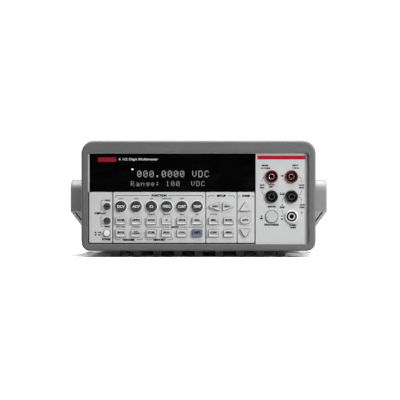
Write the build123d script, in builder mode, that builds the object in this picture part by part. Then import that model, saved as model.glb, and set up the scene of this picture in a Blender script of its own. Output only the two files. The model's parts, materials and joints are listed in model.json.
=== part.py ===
from build123d import *
from math import acos, atan2, degrees, hypot
import os

os.makedirs("parts", exist_ok=True)

# Bench multimeter, millimetres. +Z is up and the front panel faces -Y.
# Origin: centre of the footprint, on the surface that the bumper ribs stand on.

# ---- driving dimensions ----------------------------------------------------------------
case_width = 213.6
case_height = 88.6
case_bottom = 11.7
case_corner = 3.0
half_depth = 187.0

lip_thickness = 2.5         # bumper lip in front of the bezel
bumper_depth = 39.0
bumper_half_width = 111.6
bumper_top = 111.1
skirt_bottom = 5.9
bumper_top_radius = 12.4
bumper_low_radius = 8.3
bumper_fit = 0.15
opening_width = 210.4
opening_low = 12.5
opening_high = 99.5
opening_corner = 3.0

rib_count = 9
rib_pitch = 19.72
rib_width = 8.4
rib_length = 24.0
rib_setback = 10.0          # how far the ribs stand behind the bumper's face

bezel_wall = 3.0
bezel_depth = 24.5
bezel_side_wall = 2.4
pocket_depth = 1.8
tile_corner = 0.9
tile_edge = 0.45
ridge_height = 0.5
window_thickness = 2.0
overlay_thickness = 0.8
sheet = 1.2

key_width = 9.3
key_height = 6.6
key_corner = 0.7
round_key_radius = 5.0
small_key_radius = 3.1
arrow_long = 11.2
arrow_short = 8.6
arrow_corner = 0.6
oval_radii = (5.0, 3.55)
key_gap = 0.4               # clearance round each key in its hole
key_proud = 2.1
key_travel = 1.0
flange_lip = 1.0            # how far a key's flange reaches past its hole
flange_thickness = 1.0
stem_radius = 1.5
stem_length = 2.0

jack_flange_radius = 6.15
jack_body_radius = 5.85
jack_shroud_radius = 4.9    # inside of the shroud
jack_core_radius = 3.25
contact_radius = 2.6
socket_radius = 2.0         # 4 mm plug
jack_length = 24.0
socket_length = 20.0

pivot_y = -95.0
pivot_z = 56.0
arm_inner = 112.0
head_outer = 125.6
arm_outer = 117.6
shaft_radius = 8.0
shaft_clearance = 0.05

# ---- stations worked out from them -----------------------------------------------------
case_top = case_bottom + case_height
case_middle = (case_bottom + case_top) / 2
bezel_front = -half_depth + lip_thickness
bezel_inside = bezel_front + bezel_wall
bezel_back = bezel_front + bezel_depth
flange_front = bezel_inside + 0.1
flange_back = flange_front + flange_thickness
stem_back = flange_back + stem_length
mat_front = stem_back + key_travel + 0.2
mat_thickness = 1.2
board_thickness = 1.6
keypad_board_front = mat_front + mat_thickness
rear_face = 173.5           # outside of the rear panel
panel_thickness = 1.5
cover_back = half_depth - lip_thickness

# ---- key and socket layout on the front, as (x, z) -------------------------------------
key_columns = [-74.0 + 14.54 * i for i in range(6)]
round_row = 48.3
upper_row = 34.6
lower_row = 22.8
setup_columns = [14.4, 28.8]
range_x = 44.6
range_up_z = 48.4
range_auto_z = 35.4
range_down_z = 22.9
display_x = -87.1
power_x = -87.6
power_z = 22.7
input_left = 69.75
input_right = 88.8
input_rows = [76.8, 57.7, 38.7]

round_keys = ["key_dc_volts", "key_ac_volts", "key_ohms",
              "key_frequency", "key_continuity", "key_temperature"]
upper_keys = ["key_filter", "key_digits", "key_ratio", "key_percent", "key_scale", "key_null"]
lower_keys = ["key_single", "key_auto_trigger", "key_store", "key_recall", "key_local", "key_shift"]

# Keypad fields: left, right edge of each raised tile.
tiles = [(-104.3, -82.2), (-81.3, 6.5), (7.2, 36.3), (37.0, 53.4)]
tile_low = 13.5
tile_high = 62.0
pocket_left = -105.3
pocket_right = 54.4
window_box = (-104.0, 62.2, 54.5, 98.9)
aperture_box = (-92.0, 66.0, 44.0, 94.0)
overlay_box = (55.9, 14.1, 102.4, 97.8)
power_hole_radius = 3.6
power_radius = 3.0
selector_radius = 5.7
selector_hole_radius = 6.3
latch_travel = 3.0
board_posts = [(x, z) for x in (-98.5, 53.9) for z in (17.0, 59.0)]
post_radius = 2.0


def front_view(y):
    """Plane at depth y seen from the front: sketch x is +X, sketch y is +Z, normal -Y."""
    return Plane(origin=(0, y, 0), x_dir=(1, 0, 0), z_dir=(0, -1, 0))


def side_view(x):
    """Plane at width x seen from the right: sketch x is +Y, sketch y is +Z, normal +X."""
    return Plane(origin=(x, 0, 0), x_dir=(0, 1, 0), z_dir=(1, 0, 0))


def box_outline(left, low, right, high, corner=0.0):
    """Rectangle between two corners, with rounded corners if asked."""
    with Locations(((left + right) / 2, (low + high) / 2)):
        if corner:
            RectangleRounded(right - left, high - low, corner)
        else:
            Rectangle(right - left, high - low)


def block(low, high, mode=Mode.ADD):
    """Plain box between its lowest and highest corners."""
    with Locations([tuple((a + b) / 2 for a, b in zip(low, high))]):
        Box(*[b - a for a, b in zip(low, high)], mode=mode)


# ---- key outlines: each draws a key's plan, grown all round by `grow` -------------------
def rect_outline(x, z, grow=0.0):
    with Locations((x, z)):
        RectangleRounded(key_width + 2 * grow, key_height + 2 * grow, key_corner + grow)


def round_outline(x, z, grow=0.0):
    with Locations((x, z)):
        Circle(round_key_radius + grow)


def small_outline(x, z, grow=0.0):
    with Locations((x, z)):
        Circle(small_key_radius + grow)


def oval_outline(x, z, grow=0.0):
    with Locations((x, z)):
        Ellipse(oval_radii[0] + grow, oval_radii[1] + grow)


def arrow_outline(x, z, grow, turn, base, length):
    """Triangle pointing along `turn` degrees from +X, with rounded corners."""
    with Locations(Location((x, z, 0), (0, 0, turn))):
        arrow = Polygon((-length / 2, -base / 2), (length / 2, 0), (-length / 2, base / 2),
                        align=None, mode=Mode.PRIVATE)
    core = offset(arrow, amount=-arrow_corner, kind=Kind.INTERSECTION, mode=Mode.PRIVATE)
    offset(core, amount=arrow_corner + grow, kind=Kind.ARC, mode=Mode.ADD)


def left_outline(x, z, grow=0.0):
    arrow_outline(x, z, grow, 180, arrow_short, arrow_long)


def right_outline(x, z, grow=0.0):
    arrow_outline(x, z, grow, 0, arrow_short, arrow_long)


def up_outline(x, z, grow=0.0):
    arrow_outline(x, z, grow, 90, arrow_long, arrow_short)


def down_outline(x, z, grow=0.0):
    arrow_outline(x, z, grow, 270, arrow_long, arrow_short)


arrow_outlines = (left_outline, right_outline, up_outline, down_outline)


# Every key on the front: node name -> (outline, x, z)
keys = {name: (round_outline, x, round_row) for name, x in zip(round_keys, key_columns)}
keys.update({name: (rect_outline, x, upper_row) for name, x in zip(upper_keys, key_columns)})
keys.update({name: (rect_outline, x, lower_row) for name, x in zip(lower_keys, key_columns)})
keys["key_previous"] = (left_outline, setup_columns[0], round_row)
keys["key_next"] = (right_outline, setup_columns[1], round_row)
keys["key_escape"] = (rect_outline, setup_columns[0], upper_row)
keys["key_enter"] = (rect_outline, setup_columns[1], upper_row)
keys["key_config"] = (rect_outline, setup_columns[0], lower_row)
keys["key_menu"] = (rect_outline, setup_columns[1], lower_row)
keys["key_range_up"] = (up_outline, range_x, range_up_z)
keys["key_range_auto"] = (oval_outline, range_x, range_auto_z)
keys["key_range_down"] = (down_outline, range_x, range_down_z)
keys["key_display_previous"] = (small_outline, display_x, round_row)
keys["key_display_next"] = (small_outline, display_x, upper_row)

sockets = {
    "red": [(input_left, input_rows[0]), (input_right, input_rows[0])],
    "black": [(input_left, input_rows[1]), (input_right, input_rows[1])],
    "white": [(input_right, input_rows[2])],
}
all_sockets = [place for places in sockets.values() for place in places]

# ---- front bezel: moulded shell with keypad fields -------------------------------------
with BuildPart() as front_bezel:
    with BuildSketch(front_view(bezel_back)):
        box_outline(-case_width / 2, case_bottom, case_width / 2, case_top, case_corner)
    extrude(amount=bezel_depth)
    with BuildSketch(front_view(bezel_back)):
        wall = bezel_side_wall
        box_outline(-case_width / 2 + wall, case_bottom + wall, case_width / 2 - wall, case_top - wall, 1.0)
    extrude(amount=bezel_depth - bezel_wall, mode=Mode.SUBTRACT)
    # sunken keypad pocket, with the four fields left standing in it
    with BuildSketch(front_view(bezel_front)):
        box_outline(pocket_left, opening_low - 0.2, pocket_right, window_box[1], 0.3)
        for left, right in tiles:
            with Locations(((left + right) / 2, (tile_low + tile_high) / 2)):
                RectangleRounded(right - left, tile_high - tile_low, tile_corner, mode=Mode.SUBTRACT)
    extrude(amount=-pocket_depth, mode=Mode.SUBTRACT)
    front_faces = front_bezel.faces().group_by(Axis.Y)[0].filter_by(lambda f: f.center().X < pocket_right)
    tile_faces = front_faces.filter_by(lambda f: f.center().Z < tile_high and f.area < 5000)
    fillet(tile_faces.edges(), radius=tile_edge)
    # ridge between the keypad and the input field
    with BuildSketch(front_view(bezel_front)):
        box_outline(pocket_right + 0.1, opening_low + 0.3, overlay_box[0] - 0.1, window_box[3], 0.4)
    extrude(amount=ridge_height)
    # recess and aperture of the display window, recess of the input overlay
    with BuildSketch(front_view(bezel_front)):
        box_outline(*window_box)
    extrude(amount=-window_thickness, mode=Mode.SUBTRACT)
    with BuildSketch(front_view(bezel_front)):
        box_outline(*aperture_box)
    extrude(amount=-bezel_wall, mode=Mode.SUBTRACT)
    with BuildSketch(front_view(bezel_front)):
        box_outline(*overlay_box)
    extrude(amount=-overlay_thickness, mode=Mode.SUBTRACT)
    # holes for keys, buttons and sockets
    with BuildSketch(front_view(bezel_front)):
        for outline, x, z in keys.values():
            outline(x, z, key_gap)
        with Locations((power_x, power_z)):
            Circle(power_hole_radius)
        with Locations((input_left, input_rows[2])):
            Circle(selector_hole_radius)
        with Locations(*all_sockets):
            Circle(jack_body_radius + 0.1)
    extrude(amount=-bezel_wall, mode=Mode.SUBTRACT)
    # posts that carry the keypad board
    with BuildSketch(front_view(keypad_board_front)):
        with Locations(*board_posts):
            Circle(post_radius)
    extrude(amount=keypad_board_front - bezel_inside)
front_bezel.part.label = "front_bezel"
export_step(front_bezel.part, "parts/front_bezel.step")

# ---- display window and input overlay --------------------------------------------------
window_fit = 0.1
with BuildPart() as display_window:
    with BuildSketch(front_view(bezel_front + window_thickness)):
        left, low, right, high = window_box
        box_outline(left + window_fit, low + window_fit, right - window_fit, high - window_fit, 0.4)
    extrude(amount=window_thickness)
    fillet(display_window.faces().sort_by(Axis.Y)[0].edges(), radius=0.25)
display_window.part.label = "display_window"
export_step(display_window.part, "parts/display_window.step")

with BuildPart() as input_overlay:
    with BuildSketch(front_view(bezel_front + overlay_thickness)):
        left, low, right, high = overlay_box
        box_outline(left + window_fit, low + window_fit, right - window_fit, high - window_fit, 0.6)
        with Locations((input_left, input_rows[2])):
            Circle(selector_hole_radius, mode=Mode.SUBTRACT)
        with Locations(*all_sockets):
            Circle(jack_body_radius + 0.1, mode=Mode.SUBTRACT)
    extrude(amount=overlay_thickness)
input_overlay.part.label = "input_overlay"
export_step(input_overlay.part, "parts/input_overlay.step")

# ---- keys ------------------------------------------------------------------------------
scoop_radius = 2.6
scoop_depth = 0.6
scoop_drop = 1.3
arrow_rim = 1.0
arrow_sink = 0.35


def press_key(outline, x, z):
    """Key cap through the bezel, with the flange that keeps it in and the stem that presses the mat."""
    with BuildPart() as key:
        with BuildSketch(front_view(flange_back)):
            outline(x, z, key_gap + flange_lip)
        extrude(amount=flange_thickness)
        with BuildSketch(front_view(flange_front)):
            outline(x, z)
        extrude(amount=flange_front - bezel_front + key_proud)
        cap_edges = key.faces().sort_by(Axis.Y)[0].edges()
        fillet(cap_edges, radius=0.8 if outline in (round_outline, small_outline) else 0.4)
        with BuildSketch(front_view(stem_back)):
            with Locations((x, z)):
                Circle(stem_radius)
        extrude(amount=stem_length)
        if outline in arrow_outlines:
            with BuildSketch(front_view(bezel_front - key_proud)):
                outline(x, z, -arrow_rim)
            extrude(amount=-arrow_sink, mode=Mode.SUBTRACT)
        if outline is rect_outline:
            scoop_y = bezel_front - key_proud - scoop_radius + scoop_depth
            with Locations((x, scoop_y, z - scoop_drop)):
                Cylinder(scoop_radius, key_width - 1.5, rotation=(0, 90, 0), mode=Mode.SUBTRACT)
    return key.part


for name, (outline, x, z) in keys.items():
    key_part = press_key(outline, x, z)
    key_part.label = name
    export_step(key_part, f"parts/{name}.step")

# ---- power button and push rod ---------------------------------------------------------
rod_radius = 2.5
rod_front = stem_back + latch_travel
rod_back = 99.0
switch_front = 96.0

with BuildPart() as power_button:
    with BuildSketch(front_view(flange_back)):
        with Locations((power_x, power_z)):
            Circle(power_hole_radius + flange_lip)
    extrude(amount=flange_thickness)
    with BuildSketch(front_view(flange_front)):
        with Locations((power_x, power_z)):
            Circle(power_radius)
    extrude(amount=half_depth + flange_front - 0.2)
    fillet(power_button.faces().sort_by(Axis.Y)[0].edges(), radius=0.7)
    with BuildSketch(front_view(rod_front)):
        with Locations((power_x, power_z)):
            Circle(stem_radius)
    extrude(amount=rod_front - flange_back)
power_button.part.label = "power_button"
export_step(power_button.part, "parts/power_button.step")

with BuildPart() as power_pushrod:
    with BuildSketch(front_view(rod_back)):
        with Locations((power_x, power_z)):
            Circle(rod_radius)
    extrude(amount=rod_back - rod_front)
    chamfer(power_pushrod.faces().sort_by(Axis.Y)[-1].edges(), length=0.5)
power_pushrod.part.label = "power_pushrod"
export_step(power_pushrod.part, "parts/power_pushrod.step")

# ---- front/rear selector button and its switch -----------------------------------------
selector_switch_front = -150.0
selector_rod_radius = 2.0
with BuildPart() as front_rear_button:
    with BuildSketch(front_view(flange_back)):
        with Locations((input_left, input_rows[2])):
            Circle(selector_hole_radius + flange_lip)
    extrude(amount=flange_thickness)
    with BuildSketch(front_view(flange_front)):
        with Locations((input_left, input_rows[2])):
            Circle(selector_radius)
    extrude(amount=flange_front - bezel_front + 1.2)
    fillet(front_rear_button.faces().sort_by(Axis.Y)[0].edges(), radius=0.5)
    with BuildSketch(front_view(selector_switch_front + 2.0)):
        with Locations((input_left, input_rows[2])):
            Circle(selector_rod_radius)
    extrude(amount=selector_switch_front + 2.0 - flange_back)
front_rear_button.part.label = "front_rear_button"
export_step(front_rear_button.part, "parts/front_rear_button.step")

# ---- inside stations -------------------------------------------------------------------
tray_low = case_bottom + sheet
tray_top = tray_low + sheet
tray_half_width = case_width / 2 - case_corner
board_low = 22.0
board_top = board_low + board_thickness
board_box = (-78.0, -150.0, 98.0, 85.0)
standoffs = [(x, y) for x in (-72.0, 92.0) for y in (-143.0, -32.0, 78.0)]
tray_front = -158.0
tray_back = rear_face - panel_thickness
rear_screws = [(x, 19.5) for x in (-96.0, -32.0, 32.0, 96.0)]
bottom_screws = [(0.0, -140.0), (0.0, 140.0)]
ground_screw = (-40.0, 30.0)
screw_hole = 1.7
screw_radius = 1.5
head_radius = 2.9
head_height = 1.8

# ---- input selector switch, on the main board ------------------------------------------
with BuildPart() as input_selector_switch:
    block((input_left - 8.0, selector_switch_front, board_top), (input_left + 8.0, -112.0, 47.0))
    chamfer(input_selector_switch.edges().filter_by(Axis.Y), length=0.8)
    with BuildSketch(front_view(selector_switch_front)):
        with Locations((input_left, input_rows[2])):
            Circle(selector_rod_radius + 0.3)
    extrude(amount=-(2.0 + latch_travel + 1.0), mode=Mode.SUBTRACT)
input_selector_switch.part.label = "input_selector_switch"
export_step(input_selector_switch.part, "parts/input_selector_switch.step")

# ---- keypad mat, keypad board and display module ---------------------------------------
mat_box = (-94.0, 15.5, 51.5, 60.5)
keypad_board_box = (-101.5, 14.8, 56.5, 62.5)
with BuildPart() as keypad_mat:
    with BuildSketch(front_view(mat_front + mat_thickness)):
        box_outline(*mat_box, 2.0)
        with Locations((power_x, power_z)):
            Circle(rod_radius + 0.7, mode=Mode.SUBTRACT)
    extrude(amount=mat_thickness)
keypad_mat.part.label = "keypad_mat"
export_step(keypad_mat.part, "parts/keypad_mat.step")

with BuildPart() as keypad_board:
    with BuildSketch(front_view(keypad_board_front + board_thickness)):
        box_outline(*keypad_board_box, 1.5)
        with Locations((power_x, power_z)):
            Circle(rod_radius + 0.7, mode=Mode.SUBTRACT)
    extrude(amount=board_thickness)
keypad_board.part.label = "keypad_board"
export_step(keypad_board.part, "parts/keypad_board.step")

glass_front = bezel_inside + 0.3
glass_back = glass_front + 6.0
display_board_back = glass_back + board_thickness
plug_back = display_board_back + 4.4
with BuildPart() as display_module:
    block((-90.0, glass_front, 66.5), (42.0, glass_back, 93.5))
    chamfer(display_module.faces().sort_by(Axis.Y)[0].edges(), length=0.4)
    block((-96.0, glass_back, 63.5), (48.0, display_board_back, 97.0))
    block((-20.0, display_board_back, 70.0), (20.0, plug_back, 76.0))
display_module.part.label = "display_module"
export_step(display_module.part, "parts/display_module.step")

# ---- bumpers ---------------------------------------------------------------------------
bumper_back = -half_depth + bumper_depth
with BuildPart() as front_bumper:
    with BuildSketch(front_view(bumper_back)) as outline_sketch:
        box_outline(-bumper_half_width, skirt_bottom, bumper_half_width, bumper_top)
        fillet(outline_sketch.vertices().sort_by(Axis.Y)[:2], radius=bumper_low_radius)
        fillet(outline_sketch.vertices().sort_by(Axis.Y)[-2:], radius=bumper_top_radius)
    extrude(amount=bumper_depth)
    fillet(front_bumper.faces().sort_by(Axis.Y)[0].edges(), radius=2.4)
    fillet(front_bumper.faces().sort_by(Axis.Y)[-1].edges(), radius=1.0)
    # nine ribs that the instrument stands on
    rib_y = -half_depth + rib_setback + rib_length / 2
    with BuildSketch(Plane.XY):
        with Locations((0, rib_y)):
            with GridLocations(rib_pitch, 1, rib_count, 1):
                RectangleRounded(rib_width, rib_length, 1.5)
    extrude(amount=skirt_bottom + 0.5)
    chamfer(front_bumper.faces().sort_by(Axis.Z)[0:rib_count].edges(), length=0.6)
    # pocket for the case and the opening in front of it
    with BuildSketch(front_view(bumper_back)):
        box_outline(-case_width / 2 - bumper_fit, case_bottom - bumper_fit,
                    case_width / 2 + bumper_fit, case_top + bumper_fit, case_corner)
    extrude(amount=bumper_depth - lip_thickness, mode=Mode.SUBTRACT)
    with BuildSketch(front_view(-half_depth)):
        box_outline(-opening_width / 2, opening_low, opening_width / 2, opening_high, opening_corner)
    extrude(amount=-lip_thickness, mode=Mode.SUBTRACT)
    lip_edges = front_bumper.edges().filter_by_position(Axis.Y, -half_depth - 0.1, -half_depth + 0.1)
    inner_lip = lip_edges.filter_by(lambda e: abs(e.center().X) < opening_width / 2 + 0.1
                                    and opening_low - 0.1 < e.center().Z < opening_high + 0.1)
    fillet(inner_lip, radius=0.8)
front_bumper.part.label = "front_bumper"
export_step(front_bumper.part, "parts/front_bumper.step")

with BuildPart() as rear_bumper:
    add(front_bumper.part.mirror(Plane.XZ))
rear_bumper.part.label = "rear_bumper"
export_step(rear_bumper.part, "parts/rear_bumper.step")

# ---- case cover: sheet-metal sleeve -----------------------------------------------------
vent_count = 11
vent_pitch = 6.0
vent_length = 34.0
vent_width = 2.6
vent_middle = (95.0, 52.0)
rivet_radius = 5.0
rivet_hole_radius = 5.1
rivet_head_radius = 9.0
with BuildPart() as case_cover:
    with BuildSketch(front_view(cover_back)):
        box_outline(-case_width / 2, case_bottom, case_width / 2, case_top, case_corner)
        with Locations((0, case_middle)):
            RectangleRounded(case_width - 2 * sheet, case_height - 2 * sheet, case_corner - sheet,
                             mode=Mode.SUBTRACT)
    extrude(amount=cover_back - bezel_back)
    # ventilation slots in both sides, towards the rear
    with BuildSketch(side_view(-case_width / 2)):
        with Locations(vent_middle):
            with GridLocations(vent_pitch, 1, vent_count, 1):
                SlotOverall(vent_length, vent_width, rotation=90)
    extrude(amount=case_width, mode=Mode.SUBTRACT)
    # holes for the bottom screws and the handle pivots
    with BuildSketch(Plane.XY.offset(case_bottom)):
        with Locations(*bottom_screws):
            Circle(screw_hole)
    extrude(amount=sheet, mode=Mode.SUBTRACT)
    with BuildSketch(side_view(-case_width / 2)):
        with Locations((pivot_y, pivot_z)):
            Circle(rivet_hole_radius)
    extrude(amount=case_width, mode=Mode.SUBTRACT)
case_cover.part.label = "case_cover"
export_step(case_cover.part, "parts/case_cover.step")

# ---- handle pivots: one each side, riveted through the cover ----------------------------
hub_radius = 13.0
hub_outer = arm_inner - 0.3
shaft_outer = 120.8
with BuildPart() as handle_pivots:
    with BuildSketch(side_view(case_width / 2)):
        with Locations((pivot_y, pivot_z)):
            Circle(hub_radius)
    extrude(amount=hub_outer - case_width / 2)
    with BuildSketch(side_view(hub_outer)):
        with Locations((pivot_y, pivot_z)):
            Circle(shaft_radius)
    extrude(amount=shaft_outer - hub_outer)
    chamfer(handle_pivots.faces().sort_by(Axis.X)[-1].edges(), length=0.8)
    with BuildSketch(side_view(case_width / 2 - sheet)):
        with Locations((pivot_y, pivot_z)):
            Circle(rivet_radius)
    extrude(amount=sheet)
    with BuildSketch(side_view(case_width / 2 - sheet)):
        with Locations((pivot_y, pivot_z)):
            Circle(rivet_head_radius)
    extrude(amount=-1.5)
    mirror(about=Plane.YZ)
handle_pivots.part.label = "handle_pivots"
export_step(handle_pivots.part, "parts/handle_pivots.step")

# ---- carry handle, stowed under the case ------------------------------------------------
head_front = -110.5
head_low = 43.5
crown_radius = 11.5
crown_y = head_front + crown_radius
crown_z = 63.0
strap_front = 75.0
strap_back = 97.0
strap_low = 2.4
strap_top = 10.5
taper_start = -108.0
taper_end = -41.0
channel_depth = 9.0
channel_end = -60.0
outer_wall = 3.4
channel_width = 1.7
edge_round = 1.4

reach_y = strap_back - crown_y
reach_z = strap_top - crown_z
tangent_angle = degrees(atan2(reach_z, reach_y) + acos(crown_radius / hypot(reach_y, reach_z)))
underside_slope = (strap_low - head_low) / (strap_front - head_front)


def underside(y):
    """Height of the arm's underside at depth y."""
    return head_low + underside_slope * (y - head_front)


def arm_width(y):
    """Half width over the arms at depth y, along the taper."""
    return head_outer + (arm_outer - head_outer) * (y - taper_start) / (taper_end - taper_start)


with BuildPart() as carry_handle:
    # side profile of an arm and the grip, run across the whole width
    with BuildSketch(side_view(-head_outer)) as arm_sketch:
        with BuildLine():
            flat = Line((head_front, head_low), (head_front, crown_z))
            crown = CenterArc((crown_y, crown_z), crown_radius, 180, tangent_angle - 180)
            Polyline(crown @ 1, (strap_back, strap_top), (strap_back, strap_low),
                     (strap_front, strap_low), flat @ 0)
        make_face()
        grip_corners = arm_sketch.vertices().filter_by(lambda v: v.X > 0 and v.Y < strap_top + 0.1)
        fillet(grip_corners, radius=3.0)
    extrude(amount=2 * head_outer)
    # plan outline: heads outermost, tapering to the arms, round corners at the grip
    with BuildSketch(Plane.XY.offset(-5.0)) as plan_sketch:
        with BuildLine():
            Polyline((head_outer, head_front - 5), (head_outer, taper_start), (arm_outer, taper_end),
                     (arm_outer, strap_back), (-arm_outer, strap_back), (-arm_outer, taper_end),
                     (-head_outer, taper_start), (-head_outer, head_front - 5), close=True)
        make_face()
        fillet(plan_sketch.vertices().filter_by(lambda v: v.Y > 0), radius=11.0)
        fillet(plan_sketch.vertices().filter_by(lambda v: v.Y == taper_start), radius=40.0)
    extrude(amount=100.0, mode=Mode.INTERSECT)
    # soft outer edges round the heads
    outer_edges = carry_handle.edges().filter_by(lambda e: abs(e.center().X) > arm_outer + 0.5)
    fillet(outer_edges.filter_by(lambda e: e.center().Z > head_low), radius=edge_round)
    # clear everything between the arms but the grip
    with BuildSketch(side_view(-arm_inner)):
        with BuildLine():
            Polyline((head_front - 5, 0), (strap_front, 0), (strap_front, strap_top),
                     (strap_back + 5, strap_top), (strap_back + 5, 90), (head_front - 5, 90), close=True)
        make_face()
    extrude(amount=2 * arm_inner, mode=Mode.SUBTRACT)
    # moulded channel along the underside of each arm, parallel to its outer wall
    with BuildSketch(Plane.XY.offset(-5.0)):
        with BuildLine():
            channel_outer = arm_width(channel_end) - outer_wall
            Polyline((head_outer - outer_wall, taper_start), (channel_outer, channel_end),
                     (channel_outer - channel_width, channel_end),
                     (head_outer - outer_wall - channel_width, taper_start), close=True)
        make_face()
        mirror(about=Plane.YZ)
    channel = extrude(amount=100.0, mode=Mode.PRIVATE)
    with BuildSketch(side_view(-head_outer)):
        with BuildLine():
            Polyline((taper_start, underside(taper_start) - 5), (channel_end, underside(channel_end) - 5),
                     (channel_end, underside(channel_end) + channel_depth),
                     (taper_start, underside(taper_start) + channel_depth), close=True)
        make_face()
    channel_zone = extrude(amount=2 * head_outer, mode=Mode.PRIVATE)
    add(channel & channel_zone, mode=Mode.SUBTRACT)
    # blind bearing holes for the pivots
    for side in (-1, 1):
        with BuildSketch(side_view(side * arm_inner)):
            with Locations((pivot_y, pivot_z)):
                Circle(shaft_radius + shaft_clearance)
        extrude(amount=side * (shaft_outer + 0.4 - arm_inner), mode=Mode.SUBTRACT)
carry_handle.part.label = "carry_handle"
export_step(carry_handle.part, "parts/carry_handle.step")

# ---- chassis tray, with standoffs for the main board ------------------------------------
with BuildPart() as chassis_tray:
    block((-tray_half_width, tray_front, tray_low), (tray_half_width, tray_back, tray_top))
    for side in (-1, 1):
        wall_x = sorted((side * tray_half_width, side * (tray_half_width - sheet)))
        block((wall_x[0], tray_front, tray_low), (wall_x[1], tray_back, 34.0))
    block((-tray_half_width, tray_back - sheet, tray_low), (tray_half_width, tray_back, 25.0))
    with BuildSketch(Plane.XY.offset(tray_top)):
        with Locations(*standoffs):
            Circle(3.0)
    extrude(amount=board_low - tray_top)
    with BuildSketch(Plane.XY.offset(board_low)):
        with Locations(*standoffs):
            Circle(screw_radius)
    extrude(amount=-6.0, mode=Mode.SUBTRACT)
    with BuildSketch(Plane.XY.offset(tray_low)):
        with Locations(*bottom_screws):
            Circle(screw_radius)
    extrude(amount=sheet, mode=Mode.SUBTRACT)
    with BuildSketch(front_view(tray_back)):
        with Locations(*rear_screws):
            Circle(screw_radius)
    extrude(amount=sheet, mode=Mode.SUBTRACT)
chassis_tray.part.label = "chassis_tray"
export_step(chassis_tray.part, "parts/chassis_tray.step")

# ---- main board -------------------------------------------------------------------------
with BuildPart() as main_board:
    with BuildSketch(Plane.XY.offset(board_low)):
        box_outline(*board_box, 2.0)
        with Locations(*standoffs):
            Circle(screw_hole, mode=Mode.SUBTRACT)
    extrude(amount=board_thickness)
main_board.part.label = "main_board"
export_step(main_board.part, "parts/main_board.step")

# ---- components on the board, and the mains switch on the tray ---------------------------
capacitors = [(-60.0, 60.0), (-42.0, 60.0), (-24.0, 60.0), (-60.0, 40.0)]
capacitor_radius = 7.0
capacitor_height = 24.0
relays = [(40.0 + 14.0 * i, -96.0) for i in range(4)]
relay_size = (10.0, 20.0)
relay_height = 11.0
chips = [(-50.0, -20.0), (-50.0, -60.0), (-15.0, -40.0), (-15.0, -90.0)]
chip_side = 14.0
chip_height = 2.4
sink_low = (-8.0, 40.0, board_top)
sink_high = (12.0, 76.0, board_top + 4.0)
fin_count = 6
fin_pitch = 3.7
fin_thickness = 1.5
fin_top = board_top + 24.0
mains_switch_width = 16.0
mains_switch_length = 22.0
with BuildPart() as board_parts:
    with BuildSketch(Plane.XY.offset(board_top)):
        with Locations(*capacitors):
            Circle(capacitor_radius)
    extrude(amount=capacitor_height)
    fillet(board_parts.faces().group_by(Axis.Z)[-1].edges(), radius=0.8)
    with BuildSketch(Plane.XY.offset(board_top)):
        with Locations(*relays):
            Rectangle(*relay_size)
    extrude(amount=relay_height)
    with BuildSketch(Plane.XY.offset(board_top)):
        with Locations(*chips):
            Rectangle(chip_side, chip_side)
    extrude(amount=chip_height)
    # finned heat sink
    block(sink_low, sink_high)
    for i in range(fin_count):
        fin_x = sink_low[0] + fin_pitch * i
        block((fin_x, sink_low[1], sink_high[2]), (fin_x + fin_thickness, sink_high[1], fin_top))
    # mains switch at the end of the push rod
    block((power_x - mains_switch_width / 2, switch_front, tray_top),
          (power_x + mains_switch_width / 2, switch_front + mains_switch_length, 31.0))
    with BuildSketch(front_view(switch_front)):
        with Locations((power_x, power_z)):
            Circle(rod_radius + 0.3)
    extrude(amount=-(rod_back - switch_front + latch_travel + 1.0), mode=Mode.SUBTRACT)
board_parts.part.label = "board_parts"
export_step(board_parts.part, "parts/board_parts.step")

# ---- shield can over the analogue section -------------------------------------------------
with BuildPart() as shield_can:
    block((24.0, -70.0, board_top), (86.0, 60.0, board_top + 20.0))
    fillet(shield_can.edges().filter_by(Axis.Z), radius=2.0)
    offset(amount=-0.6, openings=shield_can.faces().sort_by(Axis.Z)[0])
shield_can.part.label = "shield_can"
export_step(shield_can.part, "parts/shield_can.step")

# ---- power transformer ---------------------------------------------------------------------
core_low = (-72.0, 97.0, tray_top)
core_high = (-22.0, 139.0, 56.0)
winding_low = (-62.0, 90.0, 22.0)
winding_high = (-32.0, 146.0, 49.0)
foot_low = (-78.0, 104.0, tray_top)
foot_high = (-16.0, 132.0, tray_top + 2.0)
with BuildPart() as power_transformer:
    block(core_low, core_high)
    chamfer(power_transformer.edges().filter_by(Axis.Y), length=1.0)
    block(winding_low, winding_high)
    block(foot_low, foot_high)
power_transformer.part.label = "power_transformer"
export_step(power_transformer.part, "parts/power_transformer.step")

# ---- rear panel and what is on it ----------------------------------------------------------
inlet_x = -75.0
inlet_z = 66.0
drawer_z = 45.5
module_box = (-90.5, 36.5, -59.5, 79.5)
module_body = (-88.5, 38.5, -61.5, 77.5)
bnc_places = [(16.0, 76.8), (42.0, 76.8)]
usb_place = (29.0, 46.0)
fuse_place = (input_left, input_rows[2])
fuse_radius = 6.5
bnc_thread_radius = 6.0
usb_body = (12.0, 10.8)
usb_opening = (8.5, 7.8)
usb_tongue = (5.5, 3.2)
usb_depth = 9.5

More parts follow.
